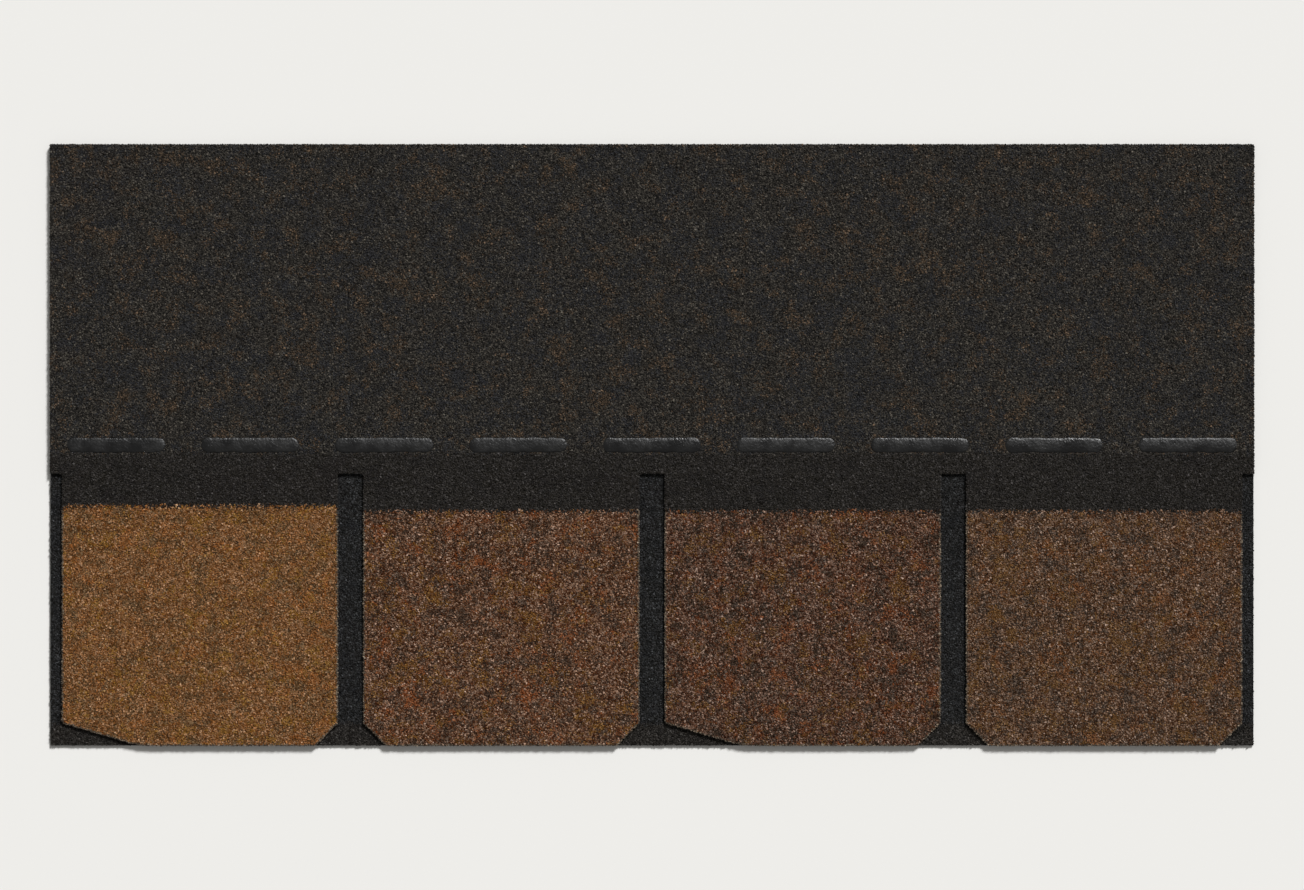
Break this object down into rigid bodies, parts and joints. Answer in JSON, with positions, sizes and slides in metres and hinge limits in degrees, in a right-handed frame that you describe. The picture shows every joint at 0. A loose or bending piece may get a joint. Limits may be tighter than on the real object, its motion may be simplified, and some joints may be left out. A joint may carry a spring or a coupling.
{
  "type": "asphalt shingle",
  "caption": "Slate-look laminated asphalt roofing shingle: a plain base sheet under a face sheet die-cut into wide tabs with clipped corners, with a row of sealant dashes and a release film.",
  "frame": {"origin": "middle of the back face, on the plane that the shingle lies on", "axes": "+X along the course (the 36 in width), +Y up the slope from the butt edge to the top edge, +Z out of the roof"},
  "size_m": [0.9144, 0.4572, 0.0058],
  "materials": {
    "face_granules": "brown ceramic-coated mineral granules on asphalt-coated glass mat",
    "base_granules": "charcoal ceramic-coated mineral granules on asphalt-coated glass mat",
    "sealant": "glossy black polymer-modified asphalt adhesive",
    "release_film": "thin clear polyester film over black asphalt"
  },
  "bodies": {
    "root": {"base_sheet": "base_granules", "face_sheet": "face_granules", "seal_strip": "sealant", "release_film": "release_film"}
  },
  "joints": []
}
